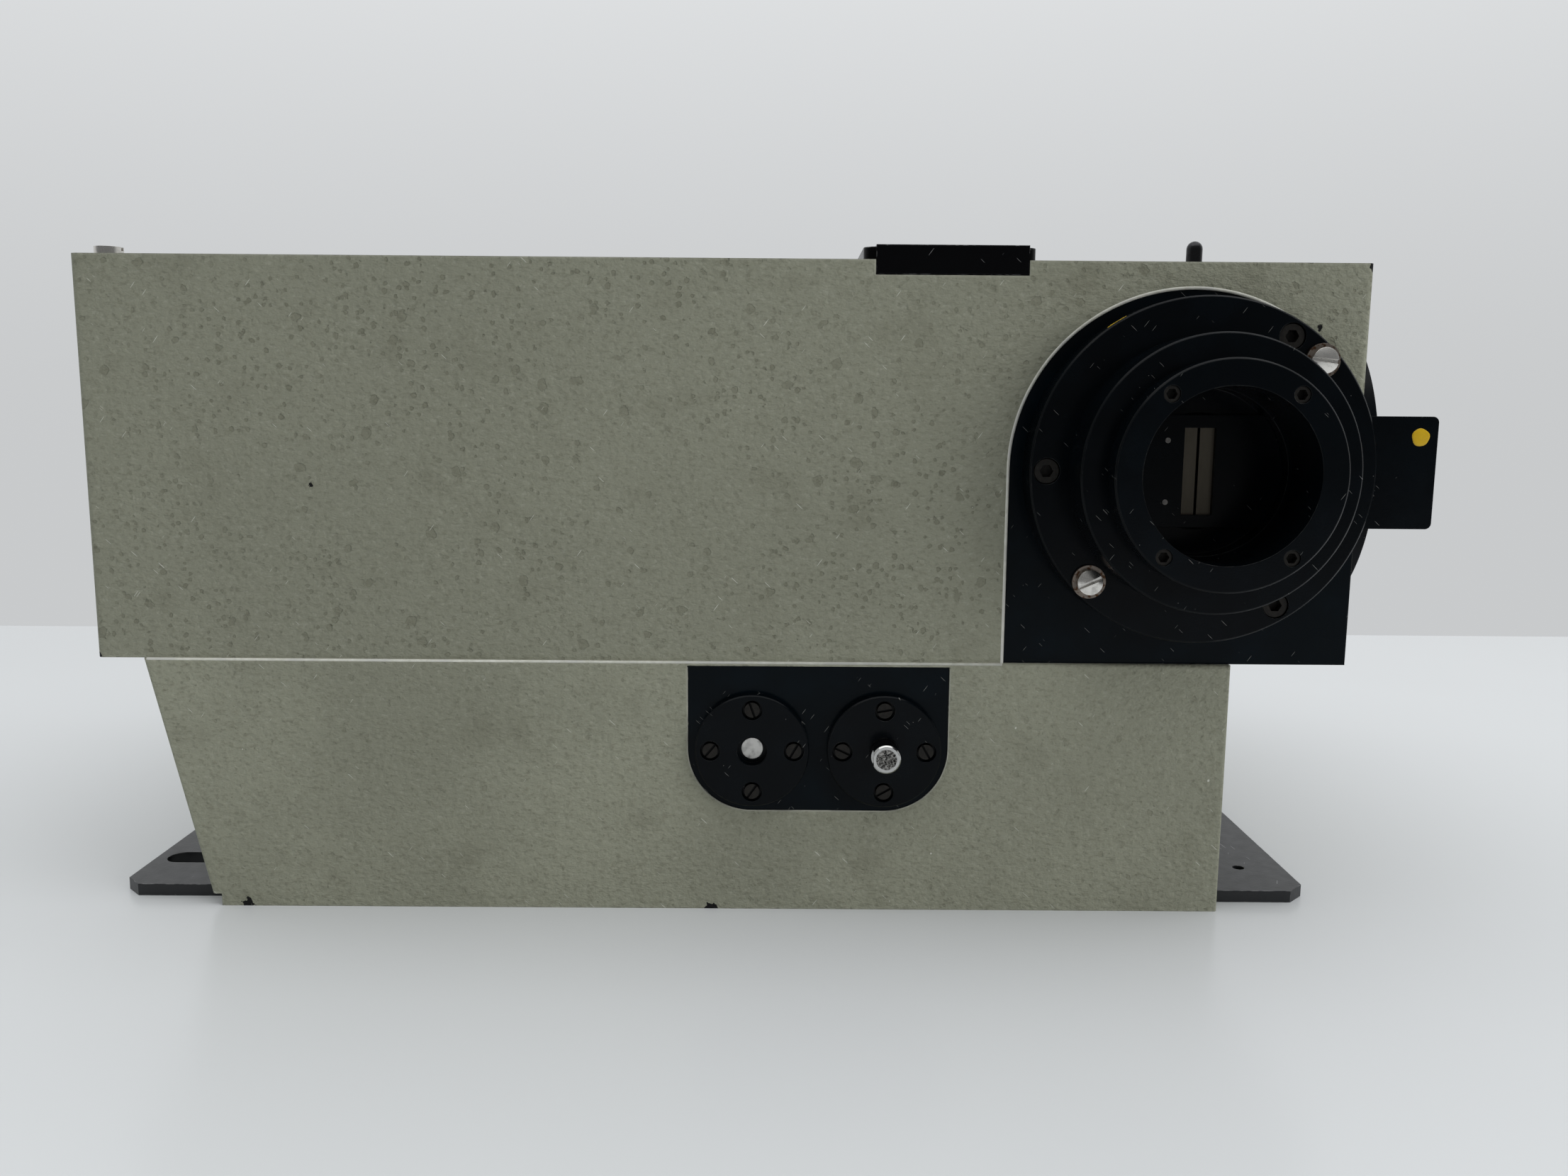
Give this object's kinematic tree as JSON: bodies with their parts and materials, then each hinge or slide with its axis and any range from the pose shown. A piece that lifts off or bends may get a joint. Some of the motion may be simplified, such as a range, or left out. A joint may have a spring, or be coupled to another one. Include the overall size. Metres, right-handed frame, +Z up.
{
  "type": "grating monochromator",
  "caption": "Benchtop grating monochromator: painted cast box with slit ports on the sides, slide-in slits, shutter rod, lift-off grating cover and a sine drive turned by a shaft in front.",
  "frame": {"origin": "middle of the drive box's underside, on the surface it stands on", "axes": "+Z up, +X towards the end with the ports, -Y out of the front face with the drive shafts"},
  "size_m": [0.2927, 0.2246, 0.1496],
  "materials": {
    "painted_casting": "satin textured grey-green paint",
    "black_plate": "satin black paint",
    "black_anodised": "black anodised",
    "black_cover": "black anodised, matte",
    "black_bearing_flange": "black anodised",
    "black_screws": "black oxide",
    "steel_screws": "satin",
    "rusty_washers": "dull with rust spots",
    "slit_blades": "satin",
    "bright_steel": "ground and polished",
    "spring_steel": "satin",
    "blackened_inside": "matte black paint",
    "machined_aluminium": "machined",
    "mirror_glass": "aluminised glass",
    "brass": "machined"
  },
  "bodies": {
    "housing": {"main_casting": "painted_casting", "top_cover": "painted_casting", "base_plate": "black_plate", "entrance_slit_holder": "black_anodised", "exit_slit_holder": "black_anodised", "entrance_flange": "black_anodised", "exit_flange": "black_anodised", "entrance_flange_ring": "black_anodised", "exit_flange_ring": "black_anodised", "front_side_port_blank": "black_anodised", "rear_side_port_blank": "black_anodised", "lead_screw_flange": "black_bearing_flange", "input_shaft_flange": "black_bearing_flange", "bearing_flange_screws": "black_screws", "port_cap_screws": "black_screws", "flange_set_screws": "black_screws", "cover_screws": "steel_screws", "base_plate_screws": "steel_screws", "clamp_screws": "steel_screws", "mirror_adjusting_screws": "steel_screws", "clamp_washers": "rusty_washers", "nut_guide_rod": "bright_steel", "spindle_bearings": "bright_steel", "return_spring": "spring_steel", "baffles": "blackened_inside", "shutter_guide_plate": "blackened_inside", "collimating_mirror_cell": "machined_aluminium", "focusing_mirror_cell": "machined_aluminium", "collimating_mirror_mount": "machined_aluminium", "focusing_mirror_mount": "machined_aluminium", "entrance_fold_mount": "machined_aluminium", "exit_fold_mount": "machined_aluminium", "spindle_housing": "machined_aluminium", "collimating_mirror": "mirror_glass", "focusing_mirror": "mirror_glass", "entrance_fold_mirror": "mirror_glass", "exit_fold_mirror": "mirror_glass", "rear_bushes": "brass"},
    "access_lid": {"access_cover": "black_cover", "access_cover_key": "black_cover"},
    "entrance_slit": {"entrance_slit_plate": "black_anodised", "entrance_slit_blades": "slit_blades", "entrance_slit_rivets": "steel_screws"},
    "exit_slit": {"exit_slit_plate": "black_anodised", "exit_slit_blades": "slit_blades", "exit_slit_rivets": "steel_screws"},
    "shutter": {"shutter_blade": "blackened_inside", "shutter_pull_rod": "bright_steel"},
    "grating_turntable": {"grating": "mirror_glass", "grating_holder": "machined_aluminium", "grating_table": "machined_aluminium", "grating_spindle": "bright_steel", "sine_arm": "machined_aluminium", "arm_roller": "bright_steel"},
    "lead_screw_body": {"lead_screw": "bright_steel", "lead_screw_gear": "brass"},
    "input_shaft_body": {"input_shaft": "bright_steel", "input_gear": "brass"},
    "nut": {"drive_nut": "brass"}
  },
  "joints": [
    {"name": "input_shaft_turn", "type": "hinge", "parent": "housing", "child": "input_shaft_body", "pos_m": [0.036, 0, 0.0376], "axis": [0, 1, 0], "range_deg": [-2340, 2340]},
    {"name": "lead_screw_turn", "type": "hinge", "parent": "housing", "child": "lead_screw_body", "pos_m": [0.0066, 0, 0.0376], "axis": [0, 1, 0], "range_deg": [-2345, 2345]},
    {"name": "nut_slide", "type": "slide", "parent": "housing", "child": "nut", "axis": [0, 1, 0], "range_m": [-0.01305, 0.01305]},
    {"name": "grating_turn", "type": "hinge", "parent": "housing", "child": "grating_turntable", "pos_m": [0.0489, 0, 0.05], "axis": [0, 0, 1], "range_deg": [-17.7, 17.7]},
    {"name": "shutter_slide", "type": "slide", "parent": "housing", "child": "shutter", "axis": [0, 0, 1], "range_m": [0, 0.024]},
    {"name": "entrance_slit_slide", "type": "slide", "parent": "housing", "child": "entrance_slit", "axis": [1, 0, 0], "range_m": [0, 0.06]},
    {"name": "exit_slit_slide", "type": "slide", "parent": "housing", "child": "exit_slit", "axis": [1, 0, 0], "range_m": [0, 0.06]},
    {"name": "access_lid_lift", "type": "slide", "parent": "housing", "child": "access_lid", "axis": [0, 0, 1], "range_m": [0, 0.04]}
  ],
  "couplings": [
    {"joint": "lead_screw_turn", "follows": "input_shaft_turn", "ratio": -1},
    {"joint": "nut_slide", "follows": "input_shaft_turn", "m_per_rad": 0.00031831},
    {"joint": "grating_turn", "follows": "input_shaft_turn", "ratio": -0.0075251}
  ]
}
